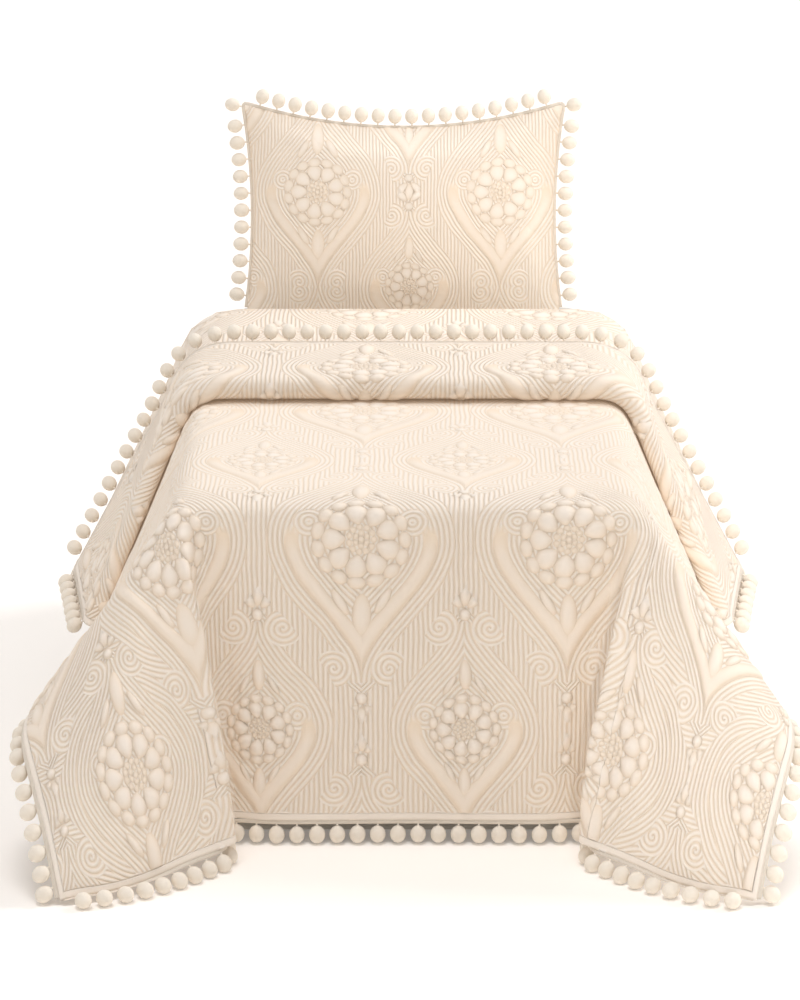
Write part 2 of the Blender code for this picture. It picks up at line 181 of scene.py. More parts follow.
def soft_sheet(across, along):
    rows = smoothing(along, GRID_ALONG, SOFT_ALONG)
    columns = smoothing(across, GRID_ACROSS, SOFT_ACROSS)
    return np.einsum("ai,ijk,bj->abk", rows, CREASED, columns, optimize=True)


def soft_frames(across, along):
    """Points, upward normals and the two directions in the cloth, of a single softened layer."""
    across, along = np.asarray(across, float), np.asarray(along, float)
    points = soft_sheet(across, along)
    right = unit(soft_sheet(across + SLOPE_STEP, along) - soft_sheet(across - SLOPE_STEP, along))
    headward = unit(soft_sheet(across, along + SLOPE_STEP) - soft_sheet(across, along - SLOPE_STEP))
    return points, unit(np.cross(right, headward)), right, headward


# %% [markdown]
# At the head the cloth is folded back and forth: it runs up to the head fold, back to a rounded lip,
# and up again to the cuff, where its head hem with pompoms lies. The path is a table of spans with a
# step for each: short steps where the cloth shows, long ones where other layers hide it.

# %% The cloth's path from foot to head
SHOWN_UNDER_LIP = LIP - LIP_RADIUS + 0.03
SPANS = [
    # name, start along, end along, step
    ("foot drop", -FOOT_DROP, 0.03, 0.0056),
    ("bed top", 0.03, SHOWN_UNDER_LIP, 0.015),
    ("under the cuff", SHOWN_UNDER_LIP, HEAD_FOLD, 0.11),
]
FOLD_STEPS, BACK_STEPS, CUFF_STEPS = 11, 26, 26
SIDE_CLOSING, CLOSING_FROM, CLOSING_RUN = 0.30, 0.44, 0.20


def span_steps(start, end, step):
    return np.linspace(start, end, max(2, int(math.ceil((end - start) / step))) + 1)[:-1]


def cloth_rows():
    """Rows of (along, lift above the lowest layer) from the foot hem to the head hem."""
    lowest = [(v, 0.0) for _, start, end, step in SPANS for v in span_steps(start, end, step)]
    turns = np.linspace(-math.pi / 2, math.pi / 2, FOLD_STEPS)
    half_circle = np.stack([np.cos(turns), 1 + np.sin(turns)], axis=1)
    head = (HEAD_FOLD, 0) + HEAD_FOLD_RADIUS * half_circle
    back = np.linspace((HEAD_FOLD, 2 * HEAD_FOLD_RADIUS), (LIP, LIP_LIFT), BACK_STEPS + 2)[1:-1]
    lip = (LIP, LIP_LIFT) + LIP_RADIUS * half_circle * (-1, 1)
    cuff = np.linspace(LIP_END, (CUFF, CUFF_LIFT), CUFF_STEPS + 1)[1:]
    return np.concatenate([lowest, head, back, lip, cuff])


ROWS = cloth_rows()
ROW_LENGTH = np.concatenate([[0], np.cumsum(np.hypot(*np.diff(ROWS, axis=0).T))]) - FOOT_DROP


def lift_share(across):
    """The folded layers lie closer together where they hang at the sides."""
    return 1 - SIDE_CLOSING * np.clip((np.abs(across) - CLOSING_FROM) / CLOSING_RUN, 0, 1)


def middle_surface(across, rows):
    """The middle of the cloth's thickness for each row (along, lift) and each place across."""
    points, normals, _, _ = soft_frames(across, rows[:, 0])
    return points + (rows[:, 1][:, None] * lift_share(across)[None])[..., None] * normals


# %% [markdown]
# The embossing is one rule, written once and used twice: with numbers it lifts the mesh, and with
# shader sockets it makes the bump. A Field wraps a socket, and each operation on it adds a Math
# node, so the same line of arithmetic can do both. Two drawings, one for each use, would drift apart.

# %% Arithmetic on numbers or on shader sockets
OPERATIONS = {
    "ADD": np.add, "SUBTRACT": np.subtract, "MULTIPLY": np.multiply, "DIVIDE": np.divide,
    "SINE": np.sin, "COSINE": np.cos, "SQRT": np.sqrt, "ARCTAN2": np.arctan2, "FLOOR": np.floor,
    "MINIMUM": np.minimum, "MAXIMUM": np.maximum, "ABSOLUTE": np.abs,
}


class Field:
    """A number that varies over a surface, as a socket of a node tree."""

    def __init__(self, tree, socket):
        self.tree, self.socket = tree, socket

    def __add__(self, other):
        return work("ADD", self, other)

    def __sub__(self, other):
        return work("SUBTRACT", self, other)

    def __rsub__(self, other):
        return work("SUBTRACT", other, self)

    def __mul__(self, other):
        return work("MULTIPLY", self, other)

    def __truediv__(self, other):
        return work("DIVIDE", self, other)

    __radd__, __rmul__ = __add__, __mul__


def filled(node, inputs):
    """The node, with each named input linked to a Field or a socket, or set to a value."""
    for name, value in inputs.items():
        value = value.socket if isinstance(value, Field) else value
        if isinstance(value, bpy.types.NodeSocket):
            node.id_data.links.new(value, node.inputs[name])
        else:
            node.inputs[name].default_value = value
    return node


def added(tree, kind, inputs=None, **settings):
    """A new node with its settings and inputs."""
    node = tree.nodes.new(kind)
    for name, value in settings.items():
        setattr(node, name, value)
    return filled(node, inputs or {})


def work(kind, *values):
    """The operation on numbers, or as a Math node where one of the values is a Field."""
    fields = [v for v in values if isinstance(v, Field)]
    if not fields:
        return OPERATIONS[kind](*values)
    tree = fields[0].tree
    return Field(tree, added(tree, "ShaderNodeMath", dict(enumerate(values)), operation=kind).outputs[0])


def most(*values):
    best = values[0]
    for value in values[1:]:
        best = work("MAXIMUM", best, value)
    return best


def least(a, b):
    return work("MINIMUM", a, b)


def step_up(low, high, value):
    """0 below low, 1 above high, straight between them."""
    return least(most((value - low) / (high - low), 0.0), 1.0)


def wrapped(value, centre, pitch):
    """The distance from the nearest of the places centre, centre + pitch and so on."""
    turned = (value - centre) / pitch + 0.5
    return (turned - work("FLOOR", turned) - 0.5) * pitch


print("0.7 m lies", round(float(wrapped(0.7, 0.0, 0.445)), 3), "m from the nearest place of a 0.445 m repeat")


# %% [markdown]
# The cloth has ordinary motifs: flowers of rounded petals, ogee frames, scrolls, small sprigs and
# straight channels. Each is a small function that gives a rounded height from 0 to 1. A petal ring
# cuts the circle into equal sectors and puts one dome in each. An ogee is a frame whose half width
# follows a cosine, so it ends in slim points, and its result is the distance outside that frame.

# %% Motifs
def dome(x, y, half_x, half_y):
    a, b = x / half_x, y / half_y
    return work("SQRT", most(1.0 - a * a - b * b, 0.0))


def leaning_dome(x, y, half_x, half_y, turn):
    c, s = math.cos(turn), math.sin(turn)
    return dome(x * c + y * s, y * c - x * s, half_x, half_y)


def polar(x, y):
    return work("SQRT", x * x + y * y), work("ARCTAN2", y, x)


def petal_ring(radius, angle, count, ring, half_long, half_wide, turn=0.0):
    sector = angle * (count / (2 * math.pi)) + turn
    aside = (sector - work("FLOOR", sector) - 0.5) * (ring * 2 * math.pi / count)
    return dome(radius - ring, aside, half_long, half_wide)


def ogee_distance(x, y, half_width, half_height):
    share = least(work("ABSOLUTE", y) / half_height, 1.0)
    curve = work("COSINE", share * (math.pi / 2))
    slope = work("SINE", share * math.pi) * (half_width * math.pi / (2 * half_height))
    past = most(work("ABSOLUTE", y) - half_height, 0.0)
    return (work("ABSOLUTE", x) + past - curve * curve * half_width) / work("SQRT", slope * slope + 1.0)


def sprig(x, y):
    """A small three-lobed sprig with a bead under it."""
    side = work("ABSOLUTE", x)
    return most(
        dome(x, y - 0.018, 0.011, 0.030),
        leaning_dome(side - 0.020, y - 0.002, 0.009, 0.022, -0.75),
        dome(x, y + 0.026, 0.010, 0.010),
    )


def channels(distance):
    """Rounded ridges with narrow grooves between them, from 0 to 1."""
    return work("ABSOLUTE", work("SINE", distance * (math.pi / CHANNEL)))


def flower_eye(x, y, far, angle):
    """Beads round a bead. On numbers it is one low dome, because the mesh is too coarse for beads."""
    if not isinstance(x, Field):
        return dome(x, y, 0.034, 0.034) * 0.5
    return most(
        petal_ring(far, angle, 11, 0.0270, 0.0076, 0.0076, 0.5) * 0.5,
        petal_ring(far, angle, 6, 0.0135, 0.0062, 0.0070) * 0.5,
        dome(x, y, 0.0075, 0.0075) * 0.6,
    )


def flower(x, y):
    """Petals round a beaded eye, in a ring of scallops, with a bud above and below."""
    far, angle = polar(x, y)
    up, side = work("ABSOLUTE", y), work("ABSOLUTE", x)
    return most(
        petal_ring(far, angle, 9, 0.060, 0.0265, 0.0220),
        flower_eye(x, y, far, angle),
        petal_ring(far, angle, 15, 0.0945, 0.0150, 0.0195, 0.5) * 0.8,
        dome(side, up - 0.168, 0.020, 0.048) * 0.85,
        leaning_dome(side - 0.045, up - 0.137, 0.011, 0.033, 0.55) * 0.85,
    )


print("height in the middle of a flower", round(float(flower(0.0, 0.0)), 2))


# %% [markdown]
# A loom weaves the same drawing again and again. Here the place on the cloth is wrapped into one
# repeat, the nearer of its two ogees is chosen, and the motifs are set out from that ogee's middle.
# Raised puffs come first. Channels fill the ground: they echo the ogees close by, run straight
# further off, and give way to spirals and fans. All places in the table below are in metres.

# %% The embossed pattern
REPEAT = (0.445, 0.84)
FLOWER_ACROSS, FLOWER_ALONG = -0.10, -0.075
CHANNEL = 0.0108
SCROLL_PITCH = 0.0240
ECHO_REACH = 0.036
RIBBON_MIDDLE, RIBBON_HALF = -0.019, 0.0165
FLARE_FROM, FLARE_GROWTH = 0.56, 0.25
# A large ogee and a small one take turns. Each value is for the (large, small) one.
HALF_WIDTHS = (0.168, 0.128)
HALF_HEIGHTS = (0.315, 0.238)
FLOWER_SCALES = (1.0, 0.72)
SPRIG_RISES = (0.386, 0.290)
SPRIG_SCALE = 1.35
SCROLL_PLACES = ((0.060, 0.055), (0.285, 0.226))
SCROLL_RADIUS, FAN_RADIUS = 0.043, 0.034
FAN_PLACES = ((0.112, 0.084), (0.040, 0.030))


def embossing(x, y, repeat=REPEAT):
    """(puffs from 0 to 1, channel ridges from 0 to 1) at a flat place on the cloth.

    Outside FLARE_FROM the small flowers grow, lose their ribbon and get rings of channels.
    """
    across, along = repeat
    in_bed = repeat is REPEAT
    ax, ay = wrapped(x, FLOWER_ACROSS, across), wrapped(y, FLOWER_ALONG, along)
    bx = wrapped(x, FLOWER_ACROSS + across / 2, across)
    by = wrapped(y, FLOWER_ALONG + along / 2, along)
    large = ogee_distance(ax, ay, HALF_WIDTHS[0], HALF_HEIGHTS[0])
    small = ogee_distance(bx, by, HALF_WIDTHS[1], HALF_HEIGHTS[1])
    outside = least(large, small)
    is_small = step_up(0.0, 0.0001, large - small)

    def chosen(pair):
        return is_small * (pair[1] - pair[0]) + pair[0]

    near_x, near_y = ax + (bx - ax) * is_small, ay + (by - ay) * is_small
    flare_zone = step_up(FLARE_FROM, FLARE_FROM + 0.001, work("ABSOLUTE", x)) if in_bed else 0.0
    in_flare = flare_zone * is_small
    size = chosen(FLOWER_SCALES) + in_flare * FLARE_GROWTH
    ribbon_at = (outside - RIBBON_MIDDLE) / RIBBON_HALF
    ribbon = work("SQRT", most(1.0 - ribbon_at * ribbon_at, 0.0)) * 0.7
    up = work("ABSOLUTE", near_y)
    puffs = most(
        flower(near_x / size, near_y / size),
        ribbon * (1.0 - in_flare) * step_up(0.035, -0.035, near_y),
        sprig(near_x / SPRIG_SCALE, (up - chosen(SPRIG_RISES)) / SPRIG_SCALE),
    )

    plain = step_up(ECHO_REACH - 0.004, ECHO_REACH, outside)
    echo = channels(outside)
    from_flower, _ = polar(near_x, near_y)
    lines = echo + (channels(x + (from_flower - x) * flare_zone) - echo) * plain
    place = (work("ABSOLUTE", near_x) - chosen(SCROLL_PLACES[0]), up - chosen(SCROLL_PLACES[1]))
    far, angle = polar(*place)
    turns = work("ABSOLUTE", work("SINE", far * (2 * math.pi / SCROLL_PITCH) - angle * 0.5))
    lines = lines + (turns - lines) * step_up(SCROLL_RADIUS, SCROLL_RADIUS - 0.003, far)
    fan_far, _ = polar(work("ABSOLUTE", near_x) - chosen(FAN_PLACES[0]), near_y - chosen(FAN_PLACES[1]))
    lines = lines + (channels(fan_far) - lines) * step_up(FAN_RADIUS, FAN_RADIUS - 0.003, fan_far)
    return puffs, lines * step_up(0.22, 0.02, puffs)


print("puff and channel between flowers", [round(float(v), 2) for v in embossing(0.01, FLOWER_ALONG)])


# %% [markdown]
# Two things change the drape a little. The hem band stays flat, and on top of the bed the embossing
# is pressed flatter. And the cloth has soft creases, sharpest where the foot corners turn out. They
# are placed along lines in the cloth's flat coordinates, where the photograph shows them.

# %% Hem band, calm top and creases
HEM_BAND, HEM_FADE = 0.014, 0.004
TOP_CALM, CALM_AT_FOOT, CALM_AT_HEAD = 0.55, (0.06, 0.16), (1.10, 1.00)
CREASES = [
    # name, start (across, along), end (across, along), width, height
    ("left ridge", (-0.50, -0.05), (-0.545, -0.84), 0.042, 0.024),
    ("right ridge", (0.50, -0.05), (0.545, -0.84), 0.042, 0.024),
    ("left hollow", (-0.42, -0.05), (-0.43, -0.86), 0.066, -0.016),
    ("right hollow", (0.42, -0.05), (0.43, -0.86), 0.066, -0.018),
    ("left crest", (-0.512, -0.03), (-0.552, -0.74), 0.026, 0.009),
    ("right crest", (0.510, -0.03), (0.548, -0.74), 0.026, 0.012),
    ("left pleat", (-0.458, -0.05), (-0.484, -0.75), 0.038, -0.010),
    ("right pleat", (0.456, -0.05), (0.482, -0.75), 0.038, -0.017),
    ("left flare", (-0.60, -0.06), (-0.72, -0.66), 0.050, -0.006),
    ("right flare", (0.60, -0.04), (0.73, -0.66), 0.050, -0.006),
    ("left shoulder", (-0.50, 0.05), (-0.80, 0.30), 0.026, -0.005),
    ("right shoulder", (0.50, 0.02), (0.83, 0.22), 0.028, -0.005),
    ("top pull", (-0.30, 0.10), (0.05, 0.55), 0.040, -0.0008),
    ("top pull right", (0.34, 0.16), (0.20, 0.62), 0.036, -0.0008),
]


def hem_share(across, along):
    """0 on the flat hem band at the cloth's edge, 1 in the embossed middle."""
    edge = np.minimum(HALF_CLOTH - np.abs(across), np.minimum(along + FOOT_DROP, ROW_LENGTH[-1] - along))
    return np.clip((edge - HEM_BAND) / HEM_FADE, 0, 1)


def calm_top(y):
    """1 where the embossing is full, less on top of the bed, where it is pressed flatter."""
    return 1.0 - step_up(*CALM_AT_FOOT, y) * step_up(*CALM_AT_HEAD, y) * TOP_CALM


def crease_height(across, along):
    """The sum of the creases, each a bell across its line that fades out at both ends."""
    height = np.zeros_like(across)
    for _, start, end, width, rise in CREASES:
        run = np.subtract(end, start)
        share = ((across - start[0]) * run[0] + (along - start[1]) * run[1]) / (run @ run)
        fade = np.sin(math.pi * np.clip(share, 0, 1)) ** 0.5
        aside = (across - start[0] - share * run[0]) ** 2 + (along - start[1] - share * run[1]) ** 2
        height += rise * fade * np.exp(-0.5 * aside / (width * 0.5) ** 2)
    return height


print("creases", len(CREASES))


# %% [markdown]
# Meshes are made from plain arrays of points and lists of faces. A thin sheet needs a face, a back
# and a rim. The back can be a coarser grid than the face, because nobody sees it close, so the rim
# walks round both loops in step and makes triangles between them.

# %% Grids, rims and new pieces
def grid_faces(rows, columns, start=0, flip=False):
    a = (start + np.arange(rows - 1)[:, None] * columns + np.arange(columns - 1)[None]).reshape(-1)
    quads = np.stack([a, a + 1, a + columns + 1, a + columns], axis=1)
    return [tuple(q) for q in (quads[:, ::-1] if flip else quads).tolist()]


def rim_loop(rows, columns):
    """(index, place round the rim from 0 to 4) of a grid's edge, going round its face."""
    foot = [(j, j / (columns - 1)) for j in range(columns)]
    right = [(i * columns + columns - 1, 1 + i / (rows - 1)) for i in range(1, rows)]
    head = [((rows - 1) * columns + j, 3 - j / (columns - 1)) for j in range(columns - 2, -1, -1)]
    left = [(i * columns, 4 - i / (rows - 1)) for i in range(rows - 2, 0, -1)]
    return foot + right + head + left


def stitched(fine, coarse):
    """Triangles between two closed loops of (index, place), walking both in step."""
    faces, i, j = [], 0, 0
    fine, coarse = (loop + [(loop[0][0], 4.0), (None, math.inf)] for loop in (fine, coarse))
    while i < len(fine) - 2 or j < len(coarse) - 2:
        if fine[i + 1][1] <= coarse[j + 1][1]:
            faces.append((fine[i + 1][0], fine[i][0], coarse[j][0]))
            i += 1
        else:
            faces.append((fine[i][0], coarse[j][0], coarse[j + 1][0]))
            j += 1
    return faces


def new_piece(name, points, faces, smooth=True):
    mesh = bpy.data.meshes.new(name)
    mesh.from_pydata(np.asarray(points, float).tolist(), [], faces)
    mesh.validate()
    mesh.update()
    if smooth:
        mesh.shade_smooth()
    piece = bpy.data.objects.new(name, mesh)
    bpy.context.scene.collection.objects.link(piece)
    return piece


def vertices_of(mesh, what="co"):
    """The places of a mesh's vertices, or their normals, as an array."""
    values = np.empty(len(mesh.vertices) * 3, np.float32)
    mesh.vertices.foreach_get(what, values)
    return values.reshape(-1, 3).astype(float)


def put_vertices(mesh, points):
    mesh.vertices.foreach_set("co", np.asarray(points, np.float32).reshape(-1))
    mesh.update()


def set_flat(mesh, flat):
    """Stores each vertex's place on the flat cloth, which the embossing reads."""
    layer = mesh.attributes.new("flat", "FLOAT_VECTOR", "POINT")
    values = np.zeros((len(mesh.vertices), 3), np.float32)
    values[:, :2] = flat
    layer.data.foreach_set("vector", values.reshape(-1))


def back_rim_loop(shape, start, row_pick, column_pick):
    """The coarse back's rim, with its places measured on the fine grid so that the two keep step."""
    row_share, column_share = row_pick / (len(ROWS) - 1), column_pick / COLUMNS
    loop = []
    for index, place in rim_loop(*shape):
        side = min(3, int(place))
        shares = column_share if side % 2 == 0 else row_share
        run = place - side if side < 2 else 1 - (place - side)
        share = shares[round(run * (len(shares) - 1))]
        loop.append((start + index, side + share if side < 2 else side + 1 - share))
    return loop


print("a grid of 3 by 4 has", len(grid_faces(3, 4)), "faces and", len(rim_loop(3, 4)), "points on its rim")


# %% [markdown]
# Now the cloth itself. Its face is a fine grid, lifted along its normals by the puffs of the
# embossing and by the creases. A displacement modifier could lift it too, but it would need a texture
# for the pattern. Each vertex keeps its flat place, so the finish knows where on the cloth it is.

# %% The bedspread
COLUMNS = 352
PUFF_HEIGHT = 0.0058
BACK_FINE_ROWS, BACK_ROW_PITCH, BACK_FOLD_PITCH, BACK_COLUMN_PITCH = 130, 7, 2, 8


def make_bedspread():
    across = np.linspace(-HALF_CLOTH, HALF_CLOTH, COLUMNS + 1)
    middle = middle_surface(across, ROWS)
    normals = unit(np.cross(np.gradient(middle, axis=1), np.gradient(middle, axis=0)))
    flat_u, flat_v = np.meshgrid(across, ROW_LENGTH)
    puffs, _ = embossing(flat_u, flat_v)
    under_cuff = np.arange(len(ROWS)) < len(ROWS) - CUFF_STEPS - FOLD_STEPS
    shown = ~((ROWS[:, 0] > SHOWN_UNDER_LIP) & under_cuff)
    relief = PUFF_HEIGHT * puffs * hem_share(flat_u, flat_v) * shown[:, None] * calm_top(flat_v)
    creases = crease_height(flat_u, flat_v)
    face_points = middle + normals * (CLOTH / 2 + relief + creases)[..., None]

    flat_rows = np.arange(0, BACK_FINE_ROWS, BACK_ROW_PITCH)
    fold_rows = np.arange(BACK_FINE_ROWS, len(ROWS), BACK_FOLD_PITCH)
    row_pick = np.unique(np.r_[flat_rows, fold_rows, len(ROWS) - 1])
    column_pick = np.unique(np.r_[np.arange(0, COLUMNS + 1, BACK_COLUMN_PITCH), COLUMNS])
    picked = np.ix_(row_pick, column_pick)
    back_points = (middle - normals * (CLOTH / 2 - creases)[..., None])[picked]
    back_flat = np.stack([flat_u[picked], flat_v[picked]], axis=-1)

    shape, back_shape = face_points.shape[:2], back_points.shape[:2]
    start = shape[0] * shape[1]
    faces = grid_faces(*shape) + grid_faces(*back_shape, start, flip=True)
    back_rim = back_rim_loop(back_shape, start, row_pick, column_pick)
    faces += stitched(rim_loop(*shape), back_rim)
    piece = new_piece(
        "bedspread_cloth", np.concatenate([face_points.reshape(-1, 3), back_points.reshape(-1, 3)]), faces
    )
    flat = np.stack([flat_u, flat_v], axis=-1).reshape(-1, 2)
    set_flat(piece.data, np.concatenate([flat, back_flat.reshape(-1, 2)]))
    return piece


cloth = make_bedspread()
print("bedspread vertices", len(cloth.data.vertices), "faces", len(cloth.data.polygons))

# %% [markdown]
# The cotton finish reads the same flat coordinates. Its bump holds the whole embossing and a fine
# weave. Its colour is painted darker and warmer in the grooves between the puffs: painted shade.
# A faint warm glow is painted light, an emission that lifts the shaded gaps, where real cotton passes light
# on.
# It is cheaper than subsurface scattering.

# %% Cotton finish
# The second cream is painted shade, for the grooves and the low ground between the puffs.
CREAM = (0.905, 0.822, 0.730)
CREAM_PAINTED_SHADE = (0.860, 0.715, 0.560)
# The glow is painted light: a warm emission that lifts the cloth's shade.
PAINTED_GLOW, PAINTED_GLOW_STRENGTH = (1.0, 0.78, 0.58), 0.045
WEAVE_PITCH, WEAVE_DEPTH = 0.0016, 0.00006
SEAM_HALF, SEAM_DEPTH = 0.0016, 0.0012
LUMP_SCALE, LUMP_DEPTH = 70.0, 0.0008
DRIFT_SCALE, DRIFT_REACH = 9.0, 0.010
WASH_SCALE, WASH_SHARE, GROOVE_SHADE_SHARE = 3.0, 0.25, 1.15
ENDLESS = 9.0


def shader_of(name, roughness, sheen):
    made = bpy.data.materials.new(name)
    made.use_nodes = True
    settings = {"Roughness": roughness, "Specular IOR Level": 0.25, "Sheen Weight": sheen}
    settings["Sheen Roughness"] = 0.5
    return made, made.node_tree, filled(made.node_tree.nodes["Principled BSDF"], settings)


def noise(tree, vector, scale, detail=3.0):
    node = added(tree, "ShaderNodeTexNoise", {"Vector": vector, "Scale": scale, "Detail": detail})
    return Field(tree, node.outputs["Fac"])


def tinted(tree, shader, share, first, second):
    """The base colour, from first where share is 0 to second where it is 1 or more."""
    colours = {"Factor": least(most(share, 0.0), 1.0), 6: (*first, 1), 7: (*second, 1)}
    node = added(tree, "ShaderNodeMix", data_type="RGBA")
    filled(shader, {"Base Color": filled(node, colours).outputs[2]})


def bumped(tree, shader, height):
    """Bends the surface's normal by a height in metres."""
    node = added(tree, "ShaderNodeBump", {"Strength": 1.0, "Distance": 1.0, "Height": height})
    filled(shader, {"Normal": node.outputs["Normal"]})


def parts_of(tree, vector):
    node = added(tree, "ShaderNodeSeparateXYZ", {0: vector})
    return [Field(tree, node.outputs[k]) for k in "XYZ"]


def flat_place(tree):
    """The stored place on the flat cloth, as a vector and as its parts."""
    vector = added(tree, "ShaderNodeAttribute", attribute_name="flat").outputs["Vector"]
    return vector, parts_of(tree, vector)


def cotton_finish(name, half_across, start, end, bump_puffs, bump_lines, repeat=REPEAT):
    """Embossed cotton. The sham has no hem band, so its edges are ENDLESS away."""
    made, tree, shader = shader_of(name, 0.86, 0.12)
    # Painted light: a faint warm emission that lifts the cloth's shade and the dark gaps between layers.
    filled(shader, {"Emission Color": (*PAINTED_GLOW, 1), "Emission Strength": PAINTED_GLOW_STRENGTH})
    flat, (x, y, _) = flat_place(tree)
    drift = (noise(tree, flat, DRIFT_SCALE, 1.0) - 0.5) * DRIFT_REACH
    puffs, lines = embossing(x + drift, y + drift, repeat)
    edge = least(half_across - work("ABSOLUTE", x), least(y - start, end - y))
    inner = step_up(HEM_BAND, HEM_BAND + 0.003, edge)
    seam_at = (edge - HEM_BAND) / SEAM_HALF
    seam = most(1.0 - seam_at * seam_at, 0.0)
    turn = 2 * math.pi / WEAVE_PITCH
    weave = work("SINE", x * turn) * work("SINE", y * turn)
    height = (puffs * bump_puffs + lines * bump_lines) * inner + noise(tree, flat, LUMP_SCALE) * LUMP_DEPTH
    if half_across < ENDLESS:
        height = height * calm_top(y)
    bumped(tree, shader, height - seam * SEAM_DEPTH + weave * WEAVE_DEPTH)
    # Painted shade: the colour turns toward the darker cream where the cloth lies low between ridges and
    # puffs.
    groove_shade = most(1.0 - lines - puffs, 0.0)
    wash = noise(tree, flat, WASH_SCALE) * WASH_SHARE
    tinted(tree, shader, groove_shade * inner * GROOVE_SHADE_SHARE + wash, CREAM, CREAM_PAINTED_SHADE)
    print(name, "finish has", len(tree.nodes), "nodes")
    return made


cotton = cotton_finish("cotton", HALF_CLOTH, -FOOT_DROP, float(ROW_LENGTH[-1]), 0.0074, 0.0025)
cloth.data.materials.append(cotton)

# %% [markdown]
# The trim is a narrow woven tape with felt balls on short ties, sewn along every hem. Tape and balls
# need the same path, so each hem is read from the draped sheet as points with three directions: out
# of the cloth's edge, the way a ball hangs, and up from the cloth. Balls near the floor are turned
# up until they rest on it, and under the folded layers they lie toward the bed.

# %% Hem paths
POMPOM = 0.035
POMPOM_PITCH = 0.0443
TIE = 0.006
TAPE_WIDTH = 0.009
TAPE_THICK = 0.0014
TAPE_GAP = 0.0006
TRIM_END = 0.012
HANG_LENGTH = TAPE_GAP + TAPE_WIDTH + TIE + POMPOM / 2
TRIM_TURN = {
    # toward the floor, out from the bed
    "side": (0.35, -0.15),
    "inner": (0.30, 0.00),
    "cuff side": (0.30, 0.55),
    "foot": (0.25, 0.00),
    "cuff": (0.00, 0.85),
}
TUCK, TUCK_RUN = 0.9, 0.12


class HemPath:
    """A hem as a path, with the cloth's outward direction, the balls' direction and the normal."""

    def __init__(self, points, outward, normal):
        self.points, self.outs, self.ups = np.asarray(points), unit(outward), unit(normal)
        self.hangs = self.outs.copy()
        steps = np.linalg.norm(np.diff(self.points, axis=0), axis=1)
        self.places = np.concatenate([[0], np.cumsum(steps)])
        self.length = float(self.places[-1])

    def read(self, values, places):
        return np.stack([np.interp(places, self.places, values[:, k]) for k in range(3)], axis=-1)

    def frame(self, places):
        """Points, outward directions, hanging directions and normals at the places."""
        outs = unit(self.read(self.outs, places))
        ups = self.read(self.ups, places)
        ups = unit(ups - outs * (ups * outs).sum(-1, keepdims=True))
        return self.read(self.points, places), outs, unit(self.read(self.hangs, places)), ups


def level_on_floor(point, out):
    """The direction, turned up just enough that a ball that hangs along it rests on the floor."""
    lowest = (POMPOM / 2 + TOUCH_GAP - point[2]) / HANG_LENGTH
    if out[2] >= lowest:
        return out
    level = unit(out * np.array([1.0, 1.0, 0.0]))
    return unit(level * math.sqrt(max(0.0, 1 - lowest**2)) + np.array([0, 0, lowest]))


def turn_trim(path, sink, lean):
    """Turns the balls toward the floor and across the layers, and the tape a little with them."""
    down = np.array([0, 0, -1.0])
    path.hangs = unit(path.hangs + sink * down + lean * path.ups)
    path.outs = unit(path.outs + 0.5 * sink * down + 0.2 * lean * path.ups)
    for k, point in enumerate(path.points):
        path.hangs[k] = level_on_floor(point, path.hangs[k])
        path.outs[k] = level_on_floor(point, path.outs[k])
    return path


def side_hem(side, rows):
    """The side hem along rows (along, lift) of the cloth."""
    points, normals, right, _ = soft_frames([side * HALF_CLOTH], rows[:, 0])
    lifts = rows[:, 1:] * lift_share(HALF_CLOTH)
    return HemPath(points[:, 0] + lifts * normals[:, 0], side * right[:, 0], normals[:, 0])


def cross_hem(along, lift, sign):
    """The hem across the cloth, at its foot (sign -1) or its head end (sign 1)."""
    across = np.linspace(-HALF_CLOTH, HALF_CLOTH, 260)
    points, normals, _, headward = soft_frames(across, [along])
    lifts = lift * lift_share(across)[:, None]
    return HemPath(points[0] + lifts * normals[0], sign * headward[0], normals[0])


def tucked(path):
    """Under the folded layers the balls of the lowest hem lie toward the bed, out of their way."""
    start = FOOT_Y + LIP - SIDE_DROP / 2
    share = np.clip((path.points[:, 1:2] - start) / TUCK_RUN, 0, 1)
    path.hangs = unit(path.hangs - share * TUCK * path.ups)
    return path


print("a ball's middle hangs", round(HANG_LENGTH * 1000, 1), "mm from the hem")


# %% [markdown]
# The bedspread has eight lengths of trim: along its foot, its two sides, the two short sides of the
# layer that runs back under the fold, the two short sides of the cuff, and its head hem.

# %% The eight hems
SIDE_TRIM_END = 1.30
BACK_START = (HEAD_FOLD - 0.13, 2 * HEAD_FOLD_RADIUS - 0.011)
BACK_END = (LIP + 0.13, LIP_LIFT + 0.011)
trim_paths = {}
for side, word in ((-1, "left"), (1, "right")):
    lowest = np.linspace((-FOOT_DROP, 0.0), (SIDE_TRIM_END, 0.0), 220)
    trim_paths[f"side_trim_{word}"] = tucked(turn_trim(side_hem(side, lowest), *TRIM_TURN["side"]))
    back = np.linspace(BACK_START, BACK_END, 40)
    trim_paths[f"inner_trim_{word}"] = turn_trim(side_hem(side, back), *TRIM_TURN["inner"])
    cuff_side = np.linspace(LIP_END, (CUFF, CUFF_LIFT), 60)
    trim_paths[f"cuff_side_trim_{word}"] = turn_trim(side_hem(side, cuff_side), *TRIM_TURN["cuff side"])
trim_paths["foot_trim"] = turn_trim(cross_hem(-FOOT_DROP, 0, -1), *TRIM_TURN["foot"])
trim_paths["cuff_trim"] = turn_trim(cross_hem(CUFF, CUFF_LIFT, 1), *TRIM_TURN["cuff"])
print("hem lengths", {name: round(path.length, 2) for name, path in trim_paths.items()})

# %% [markdown]
# The tape is flat and soft at its edges. A curve with a bevel would twist where the hem turns, so
# its section is set out at every step, from the path's own directions.

# %% Tape
TAPE_STEP = 0.006


